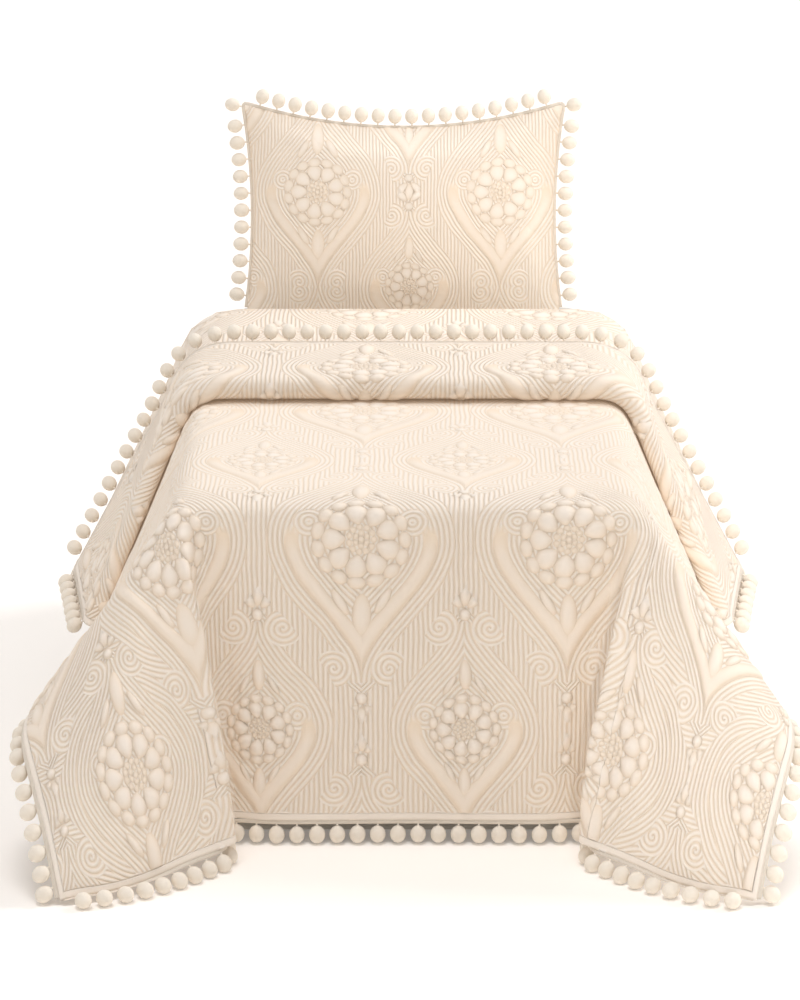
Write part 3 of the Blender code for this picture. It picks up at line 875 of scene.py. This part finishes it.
def sweep_tape(name, path):
    """A flat tape beside the hem, with six points round its section."""
    places = np.linspace(TRIM_END * 0.3, path.length - TRIM_END * 0.3, max(2, int(path.length / TAPE_STEP)))
    points, outs, _, ups = path.frame(places)
    half = TAPE_THICK / 2
    near, far = TAPE_GAP, TAPE_GAP + TAPE_WIDTH
    section = [
        (near, 0.0), (near + half, -half), (far - half, -half), (far, 0.0),
        (far - half, half), (near + half, half),
    ]
    rings = np.stack([points + outs * a + ups * b for a, b in section], axis=1)
    tape = new_piece(name, rings.reshape(-1, 3), tube_faces(len(places), len(section)))
    flat = np.stack([np.repeat(places, len(section)), np.tile([s[0] for s in section], len(places))], axis=-1)
    set_flat(tape.data, flat)
    fix_normals(tape)
    return tape


def tube_faces(count, around):
    """Walls between count rings of around points, and a lid on each end."""
    faces = []
    for k in range(count - 1):
        for j in range(around):
            n = (j + 1) % around
            faces.append((k * around + j, (k + 1) * around + j, (k + 1) * around + n, k * around + n))
    return faces + [tuple(range(around)), tuple(range((count - 1) * around, count * around))[::-1]]


def fix_normals(piece):
    """Turns every face outwards."""
    shape = bmesh.new()
    shape.from_mesh(piece.data)
    bmesh.ops.recalc_face_normals(shape, faces=shape.faces)
    shape.to_mesh(piece.data)
    shape.free()


print("a ring of the tape every", TAPE_STEP * 1000, "mm")


# %% [markdown]
# The balls are many and alike, so Geometry Nodes make one ball with its tie and set it on every
# point of a hem, turned to the way in which it hangs there. The tree has named inputs for its sizes,
# its felt and its seed, which varies the balls a little. A Field does its sums, as in a material.
# Realize Instances turns the copies into real mesh, which the export needs.

# %% Balls and ties by Geometry Nodes
BALL_LENGTHEN = 1.13
BALL_SIZES = (0.965, 1.02)
TIE_THICK, TIE_INTO_BALL, TIE_LOWER = 0.0022, 0.006, 0.001


def ball_and_tie(tree, given):
    """A ball, a little longer than wide, at the origin, and its tie under it."""
    half = Field(tree, given.outputs["Ball Size"]) * 0.5
    ball = added(tree, "GeometryNodeMeshIcoSphere", {"Radius": half, "Subdivisions": 3})
    longer = {"Geometry": ball.outputs["Mesh"], "Scale": (1, 1, BALL_LENGTHEN)}
    ball = added(tree, "GeometryNodeTransform", longer)
    reach = Field(tree, given.outputs["Tie Length"]) + TIE_INTO_BALL
    sizes = {"Vertices": 7, "Radius": given.outputs["Tie Thickness"], "Depth": reach}
    tie = added(tree, "GeometryNodeMeshCylinder", sizes)
    place = added(tree, "ShaderNodeCombineXYZ", {"Z": (half + TIE_LOWER) * -1})
    placed = {"Geometry": tie.outputs["Mesh"], "Translation": place.outputs[0]}
    tie = added(tree, "GeometryNodeTransform", placed)
    both = added(tree, "GeometryNodeJoinGeometry", {0: ball.outputs[0]})
    return filled(both, {0: tie.outputs[0]}).outputs[0]


def ball_tree():
    """Sets a felt ball and its tie on every point, along the point's own direction."""
    tree = bpy.data.node_groups.new("Pompoms", "GeometryNodeTree")
    face = tree.interface
    face.new_socket("Geometry", in_out="INPUT", socket_type="NodeSocketGeometry")
    face.new_socket("Geometry", in_out="OUTPUT", socket_type="NodeSocketGeometry")
    sockets = {}
    for name, kind, value in (
        ("Ball Size", "Float", POMPOM), ("Tie Length", "Float", TIE), ("Tie Thickness", "Float", TIE_THICK),
        ("Felt", "Material", None), ("Seed", "Int", 0),
    ):
        sockets[name] = face.new_socket(name, in_out="INPUT", socket_type="NodeSocket" + kind)
        if value:
            sockets[name].default_value = value
    given = added(tree, "NodeGroupInput")
    hang = added(tree, "GeometryNodeInputNamedAttribute", {"Name": "hang"}, data_type="FLOAT_VECTOR")
    turn = added(tree, "FunctionNodeAlignRotationToVector", {"Vector": hang.outputs["Attribute"]}, axis="Z")
    size = added(tree, "FunctionNodeRandomValue", {"Seed": given.outputs["Seed"]}, data_type="FLOAT")
    for socket in size.inputs:
        if socket.type == "VALUE" and socket.name in ("Min", "Max"):
            socket.default_value = BALL_SIZES[socket.name == "Max"]
    points = added(tree, "GeometryNodeMeshToPoints", {"Mesh": given.outputs["Geometry"]})
    spread = added(tree, "GeometryNodeInstanceOnPoints", {
        "Points": points.outputs["Points"],
        "Instance": ball_and_tie(tree, given),
        "Rotation": turn.outputs["Rotation"],
        "Scale": next(s for s in size.outputs if s.type == "VALUE" and s.enabled),
    })
    real = added(tree, "GeometryNodeRealizeInstances", {"Geometry": spread.outputs[0]})
    finish = added(
        tree, "GeometryNodeSetMaterial", {"Geometry": real.outputs[0], "Material": given.outputs["Felt"]}
    )
    smooth = added(tree, "GeometryNodeSetShadeSmooth", {"Geometry": finish.outputs[0]})
    added(tree, "NodeGroupOutput", {"Geometry": smooth.outputs[0]})
    return tree, {name: socket.identifier for name, socket in sockets.items()}


POMPOM_TREE, POMPOM_INPUTS = ball_tree()
print("pompom tree has", len(POMPOM_TREE.nodes), "nodes and the inputs", list(POMPOM_INPUTS))


# %% [markdown]
# Felt scatters light softly and has a fine fuzz, so its finish is rough, with a little sheen and two
# sizes of noise in its bump. The tape is woven, with ribs across it and cords along it.

# %% Felt and tape finishes
FELT_COLOURS, FUZZ_DEPTH = ((0.895, 0.790, 0.655), (0.950, 0.875, 0.765)), 0.0012
TAPE_COLOURS = ((0.870, 0.765, 0.635), (0.940, 0.855, 0.745))
RIB_PITCH, RIB_DEPTH, TAPE_CORD_PITCH, TAPE_CORD_DEPTH = 0.0022, 0.00025, 0.0030, 0.0003


def felt_finish():
    made, tree, shader = shader_of("felt", 0.95, 0.25)
    place = tree.nodes.new("ShaderNodeTexCoord").outputs["Object"]
    fuzz, soft = noise(tree, place, 420.0, 6.0), noise(tree, place, 60.0, 2.0)
    bumped(tree, shader, fuzz * FUZZ_DEPTH + soft * FUZZ_DEPTH)
    tinted(tree, shader, soft * 0.8 + fuzz * 0.4 - 0.1, *FELT_COLOURS)
    return made


def tape_finish():
    made, tree, shader = shader_of("tape", 0.9, 0.1)
    flat, (along, aside, _) = flat_place(tree)
    ribs = work("SINE", along * (2 * math.pi / RIB_PITCH))
    cords = work("SINE", aside * (2 * math.pi / TAPE_CORD_PITCH))
    bumped(tree, shader, ribs * RIB_DEPTH + cords * TAPE_CORD_DEPTH)
    tinted(tree, shader, ribs * 0.2 + noise(tree, flat, 60.0) * 0.8, *TAPE_COLOURS)
    return made


felt, tape_cotton = felt_finish(), tape_finish()
print("felt and tape finishes made")

# %% [markdown]
# Each trim is two pieces, a tape and its balls, that stand together for one solid of the model. The
# balls are counted so that they fill the hem at nearly the same pitch, and lie even at its ends.

# %% The trims of the bedspread
def set_pompoms(name, path, seed):
    """The balls of one hem, as one plain mesh that doesn't sink into the floor."""
    run = path.length - 2 * TRIM_END
    count = max(1, int(round(run / POMPOM_PITCH)))
    places = TRIM_END + (np.arange(count) + 0.5) * run / count
    points, _, hangs, _ = path.frame(places)
    holder = new_piece(name + "_points", points + hangs * HANG_LENGTH, [])
    layer = holder.data.attributes.new("hang", "FLOAT_VECTOR", "POINT")
    layer.data.foreach_set("vector", hangs.astype(np.float32).reshape(-1))
    nodes = holder.modifiers.new("Pompoms", "NODES")
    nodes.node_group = POMPOM_TREE
    nodes[POMPOM_INPUTS["Felt"]] = felt
    nodes[POMPOM_INPUTS["Seed"]] = seed
    graph = bpy.context.evaluated_depsgraph_get()
    mesh = bpy.data.meshes.new_from_object(holder.evaluated_get(graph))
    mesh.name = name
    spots = vertices_of(mesh)
    spots[:, 2] = np.maximum(spots[:, 2], TOUCH_GAP)
    put_vertices(mesh, spots)
    balls = bpy.data.objects.new(name, mesh)
    bpy.context.scene.collection.objects.link(balls)
    bpy.data.objects.remove(holder, do_unlink=True)
    return balls, count


def make_trim(node, path, seed):
    """Tape and balls of one hem, two pieces that stand for the solid trim."""
    tape = sweep_tape(node + "_tape", path)
    tape.data.materials.append(tape_cotton)
    balls, count = set_pompoms(node + "_balls", path, seed)
    print(node, "pompoms", count)
    for piece in (tape, balls):
        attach(piece, "root")
    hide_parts(node)
    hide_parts(node)
    return [tape, balls]


trims = []
for seed, (node, path) in enumerate(trim_paths.items()):
    trims += make_trim(node, path, seed)
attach(cloth, "root")
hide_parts("bedspread")

# %% [markdown]
# The sham is a filled cushion. It starts as a slim crowned form with drawn-in sides, is remeshed,
# and is blown up by a short cloth simulation with pressure, so that it puckers the way a stuffed
# cover does. The embossing comes after that, because a remesh would rub it out.

# %% Sham
SHAM_WIDTH, SHAM_HEIGHT, SHAM_THICK, SHAM_EDGE = 0.81, 0.56, 0.17, 0.005
SHAM_PINCH_SIDE, SHAM_PINCH_TOP, SHAM_PINCH_BOTTOM = 0.024, 0.062, 0.012
SHAM_LEAN = math.radians(12)
SHAM_FOOT, SHAM_SHIFT, SHAM_SINK = 1.690, -0.012, 0.012
SHAM_START = 0.80
SHAM_VOXEL = 0.0075
SHAM_MOVE_CAP = 0.014
SHAM_SEAM_HOLD = 0.045
SHAM_SEAM_REACH = np.array([1.011, 1.016, 1.0])
SHAM_PRESSURE, SHAM_FRAMES = 4, 20
SHAM_PATTERN_SCALE, SHAM_PUFF_SHARE = 0.80, 0.8
SHAM_REPEAT = (0.580, 0.60)
SHAM_FLOWER = np.array([-0.217, 0.058])
SHAM_CALM_SIDE, SHAM_CALM_END, SHAM_CALM_INSET = 0.06, 0.05, 0.03


def sham_local(s, t, depth):
    """Across, up and depth in the sham's own upright frame."""
    width = SHAM_WIDTH / 2 - SHAM_PINCH_SIDE * (1 - t * t)
    pinch = np.where(t > 0, SHAM_PINCH_TOP, SHAM_PINCH_BOTTOM)
    rise = SHAM_HEIGHT / 2 - pinch * (1 - s * s) * np.abs(t)
    return np.stack([s * width, t * rise, depth + 0 * s], axis=-1)


def sham_to_world(local):
    x, up, depth = local[..., 0], local[..., 1] + SHAM_HEIGHT / 2, local[..., 2]
    y = FOOT_Y + SHAM_FOOT + up * math.sin(SHAM_LEAN) + depth * math.cos(SHAM_LEAN)
    z = MATTRESS_TOP - SHAM_SINK + up * math.cos(SHAM_LEAN) - depth * math.sin(SHAM_LEAN)
    return np.stack([x + SHAM_SHIFT, y, z], axis=-1)


def sham_start_mesh():
    """Two crowned faces and a narrow rim, closer together near the edges."""
    columns, rows = 41, 31
    across, upward = (np.sin(line * math.pi / 2) * 0.5 + line * 0.5 for line in
                      (np.linspace(-1, 1, columns), np.linspace(-1, 1, rows)))
    s, t = np.meshgrid(across, upward)
    crown = (np.maximum(0, 1 - s * s) * np.maximum(0, 1 - t * t)) ** 0.55
    depth = SHAM_EDGE * 0.9 + (SHAM_THICK * SHAM_START / 2 - SHAM_EDGE) * crown
    points = np.concatenate([sham_local(s, t, face * depth).reshape(-1, 3) for face in (-1, 1)])
    total = columns * rows
    faces = grid_faces(rows, columns) + grid_faces(rows, columns, total, flip=True)
    loop = [k for k, _ in rim_loop(rows, columns)]
    faces += [(b, a, a + total, b + total) for a, b in zip(loop, loop[1:] + loop[:1])]
    return new_piece("sham_cover", points * SHAM_SEAM_REACH, faces)


def applied(piece, modifier):
    """The piece's mesh as its modifiers leave it, with the modifiers gone."""
    graph = bpy.context.evaluated_depsgraph_get()
    mesh = bpy.data.meshes.new_from_object(piece.evaluated_get(graph))
    piece.modifiers.remove(modifier)
    piece.data = mesh


def blow_up(piece):
    """Remeshes the cushion and fills it with pressure, its rim held where the trim is sewn on."""
    remesh = piece.modifiers.new("Remesh", "REMESH")
    remesh.mode = "VOXEL"
    remesh.voxel_size = SHAM_VOXEL
    applied(piece, remesh)
    before = vertices_of(piece.data)
    stuffing = piece.modifiers.new("Stuffing", "CLOTH")
    settings = stuffing.settings
    settings.use_pressure = True
    settings.uniform_pressure_force = SHAM_PRESSURE
    settings.effector_weights.gravity = 0
    scene = bpy.context.scene
    for step in range(1, SHAM_FRAMES + 1):
        scene.frame_set(step)
    applied(piece, stuffing)
    scene.frame_set(1)
    moved = vertices_of(piece.data) - before
    far = np.linalg.norm(moved, axis=1, keepdims=True)
    held = np.clip((np.abs(before[:, 2:]) - SHAM_EDGE) / SHAM_SEAM_HOLD, 0, 1)
    put_vertices(piece.data, before + moved * held * np.minimum(1, SHAM_MOVE_CAP / np.maximum(far, 1e-9)))


def make_sham():
    """The filled cushion, embossed, and leaned into its place on the bed."""
    piece = sham_start_mesh()
    blow_up(piece)
    smooth = piece.modifiers.new("Smooth", "SUBSURF")
    smooth.levels = smooth.render_levels = 1
    applied(piece, smooth)
    local, normals = vertices_of(piece.data), vertices_of(piece.data, "normal")
    flat = (local[:, :2] - SHAM_FLOWER) / SHAM_PATTERN_SCALE + np.array([FLOWER_ACROSS, FLOWER_ALONG])
    puffs, _ = embossing(flat[:, 0], flat[:, 1], SHAM_REPEAT)
    from_side = (SHAM_WIDTH / 2 - np.abs(local[:, 0])) / SHAM_CALM_SIDE
    from_end = (SHAM_HEIGHT / 2 - SHAM_CALM_INSET - np.abs(local[:, 1])) / SHAM_CALM_END
    relief = PUFF_HEIGHT * SHAM_PUFF_SHARE * puffs * np.clip(np.minimum(from_side, from_end), 0, 1)
    world = sham_to_world(local + normals * relief[:, None])
    world[:, 2] = np.maximum(world[:, 2], MATTRESS_TOP + TOUCH_GAP)
    put_vertices(piece.data, world)
    set_flat(piece.data, flat)
    piece.data.shade_smooth()
    return piece


sham = make_sham()
sham_cotton = cotton_finish("sham cotton", ENDLESS, -ENDLESS, ENDLESS, 0.0058, 0.0019, SHAM_REPEAT)
sham.data.materials.append(sham_cotton)
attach(sham, "root")
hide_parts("sham")
print("sham vertices", len(sham.data.vertices))

# %% [markdown]
# The sham's trim is made like the bedspread's, from a path round three of its sides. Nobody sees its
# bottom edge, and the cushion stands on it, so it stays bare.

# %% Sham trim
SHAM_TRIM_START = -0.86


def sham_hem():
    """Up the left side, along the top and down the right side."""
    up, over = np.linspace(SHAM_TRIM_START, 1, 60), np.linspace(-1, 1, 80)[1:]
    s = np.concatenate([np.full(60, -1.0), over, np.full(59, 1.0)])
    t = np.concatenate([up, np.full(79, 1.0), up[::-1][1:]])
    points = sham_to_world(sham_local(s, t, 0.0))
    back = unit(np.diff(sham_to_world(np.array([[0.0, 0.0, 0.0], [0.0, 0.0, 1.0]])), axis=0))
    ahead = unit(np.gradient(points, axis=0))
    return HemPath(points, np.cross(ahead, back), np.repeat(-back, len(points), axis=0))


make_trim("sham_trim", sham_hem(), 20)

# %% [markdown]
# The mattress shows only between the fold and the sham, and from behind. Its outline is a rounded
# rectangle, drawn again for every row of a profile that runs from the middle of the top round the
# side to the middle of the underside. Two sewn cords run round it, and the quilting of its top is
# in the finish. The base keeps its solid shape and gets a woven finish.

# %% Mattress and base
BASE_HEIGHT = 0.44
MATTRESS_EDGE, MATTRESS_CLEAR = 0.085, 0.008
MATTRESS_HALF = (
    HALF_BED - MATTRESS_CLEAR,
    (BED_LENGTH - MATTRESS_CLEAR) / 2,
    (MATTRESS_TOP - BASE_HEIGHT - TOUCH_GAP) / 2,
)
MATTRESS_MIDDLE = np.array([0, MATTRESS_CLEAR / 2, MATTRESS_TOP - MATTRESS_HALF[2]])
CORD_HEIGHT, CORD_RADIUS, CORD_DEPTH = 0.062, 0.006, 0.0035
CORD_GROOVE, PROFILE_STEP = 0.0022, 0.002
QUILT_PITCH, QUILT_DEPTH = 0.13, 0.006
ARC_POINTS, SIDE_POINTS = 9, (22, 40)


def rounded_outline(inset):
    """A rounded rectangle drawn in by inset, and the direction out of it at each point."""
    half = np.array(MATTRESS_HALF[:2]) - inset
    radius = max(MATTRESS_EDGE - inset, 0.010)
    arcs = []
    for quarter, corner in enumerate(((1, 1), (-1, 1), (-1, -1), (1, -1))):
        turns = (quarter + np.linspace(0, 1, ARC_POINTS)) * math.pi / 2
        outs = np.stack([np.cos(turns), np.sin(turns)], axis=1)
        arcs.append((corner * (half - radius) + radius * outs, outs))
    points, outs = [], []
    for (arc, arc_outs), (following, _), count in zip(arcs, arcs[1:] + arcs[:1], SIDE_POINTS * 2):
        points += [arc, np.linspace(arc[-1], following[0], count + 2)[1:-1]]
        outs += [arc_outs, np.repeat(arc_outs[-1:], count, axis=0)]
    return np.concatenate(points), np.concatenate(outs)


def mattress_profile():
    """Rows of (inset, height from the middle, depth of the sewn groove there)."""
    half_z, middle = MATTRESS_HALF[2], MATTRESS_HALF[0] - 0.02
    rows = [(inset, half_z) for inset in np.linspace(middle, MATTRESS_EDGE, 12)[:-1]]
    for turn in np.linspace(math.pi / 2, 0, ARC_POINTS):
        rows.append((MATTRESS_EDGE * (1 - math.cos(turn)), half_z - MATTRESS_EDGE * (1 - math.sin(turn))))
    rows += [(0, z) for z in np.arange(half_z - MATTRESS_EDGE - PROFILE_STEP, 0, -PROFILE_STEP)]
    rows = np.array(rows)
    rows = np.concatenate([rows, np.stack([rows[::-1, 0], -rows[::-1, 1]], axis=1)])
    beside = np.abs(np.abs(rows[:, 1]) - CORD_HEIGHT)
    depth = CORD_DEPTH * np.exp(-(((beside - CORD_RADIUS) / CORD_GROOVE) ** 2))
    return np.column_stack([rows, depth])


def make_mattress():
    rings = []
    for inset, height, depth in mattress_profile():
        flat, outs = rounded_outline(inset)
        rings.append(np.column_stack([flat - outs * depth, np.full(len(flat), height)]) + MATTRESS_MIDDLE)
    piece = new_piece("mattress_cover", np.concatenate(rings), tube_faces(len(rings), len(rings[0])))
    fix_normals(piece)
    return piece


def woven_finish(name, dark, light, pitch, quilted):
    made, tree, shader = shader_of(name, 0.9, 0.1)
    place = tree.nodes.new("ShaderNodeTexCoord").outputs["Object"]
    x, y, z = parts_of(tree, place)
    turn = 2 * math.pi / pitch
    weave = work("SINE", (x + y) * turn) * work("SINE", (z + y - x) * turn)
    height = weave * (pitch * 0.08)
    share = weave * 0.2 + noise(tree, place, 30.0) * 0.9
    if quilted:
        across = work("ABSOLUTE", work("SINE", (x + y) * (math.pi / QUILT_PITCH)))
        along = work("ABSOLUTE", work("SINE", (x - y) * (math.pi / QUILT_PITCH)))
        # The quilted tops are painted lighter than the seams: painted shade in the seams, over the ticking's
        # own uneven tone.
        puff = work("SQRT", least(across, along)) * step_up(-0.02, 0.0, z - MATTRESS_TOP)
        height, share = height + puff * QUILT_DEPTH, share + puff * 0.25
    bumped(tree, shader, height)
    tinted(tree, shader, share, dark, light)
    return made


mattress = make_mattress()
mattress.data.materials.append(woven_finish("ticking", (0.76, 0.72, 0.66), (0.87, 0.84, 0.79), 0.0022, True))
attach(mattress, "root")
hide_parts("mattress")
print("mattress vertices", len(mattress.data.vertices))

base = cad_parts["bed_base"]
base.data.materials.clear()
base.data.materials.append(woven_finish("upholstery", (0.56, 0.52, 0.46), (0.68, 0.64, 0.58), 0.0030, False))

# %% [markdown]
# The photograph has a white floor and soft light from high on the right, so the left flare is in
# half shade. A bright even world gives the fill. A wide sun from the right gives the direction, and
# one from above brightens the bed's top. Two spots lift the sham and the near right corner. One big
# area light would be simpler, but it fades along the bed, and a sun doesn't.

# %% Floor and light
FLOOR_REACH = 150
WORLD_STRENGTH = 0.49
SUNS = [
    # name, the way toward it, angle in degrees, strength, colour
    ("right sun", (0.74, 0.32, 0.64), 16, 1.20, (1.0, 1.0, 1.02)),
    ("top sun", (-0.03, -0.10, 1.0), 24, 1.20, (1.0, 1.0, 1.04)),
]
SPOTS = [
    # name, place, aim, angle in degrees, power
    ("sham fill", (2.0, -1.8, 2.3), (0.14, 0.85, 1.05), 24, 210),
    ("corner fill", (1.15, -4.6, 0.9), (0.86, -1.2, 0.36), 12, 530),
]


def add_floor():
    corners = [(x * FLOOR_REACH, y * FLOOR_REACH, 0) for x, y in ((-1, -1), (1, -1), (1, 1), (-1, 1))]
    floor = new_piece("floor", corners, [(0, 1, 2, 3)], smooth=False)
    made, _, shader = shader_of("floor paint", 0.9, 0.0)
    paint = {"Base Color": (0.98, 0.93, 0.87, 1), "Emission Color": (1, 1, 1, 1), "Emission Strength": 0.12}
    filled(shader, paint)
    floor.data.materials.append(made)


def add_light(name, kind, place, direction, power, **settings):
    data = bpy.data.lights.new(name, kind)
    data.energy = power
    for setting, value in settings.items():
        setattr(data, setting, value)
    lamp = bpy.data.objects.new(name, data)
    lamp.location = place
    pitch = math.atan2(math.hypot(direction[0], direction[1]), -direction[2])
    lamp.rotation_euler = (pitch, 0, math.atan2(-direction[0], direction[1]))
    bpy.context.scene.collection.objects.link(lamp)


add_floor()
world = bpy.data.worlds.new("room")
world.use_nodes = True
filled(world.node_tree.nodes["Background"], {"Color": (1, 1, 1, 1), "Strength": WORLD_STRENGTH})
bpy.context.scene.world = world
for name, toward, angle, strength, colour in SUNS:
    add_light(name, "SUN", toward, np.negative(toward), strength, angle=math.radians(angle), color=colour)
for name, place, aim, angle, power in SPOTS:
    spot = {"spot_size": math.radians(angle), "spot_blend": 1.0, "shadow_soft_size": 0.5}
    add_light(name, "SPOT", place, np.subtract(aim, place), power, **spot)
bpy.context.scene.view_settings.view_transform = "Standard"
print("lights", len(SUNS) + len(SPOTS))
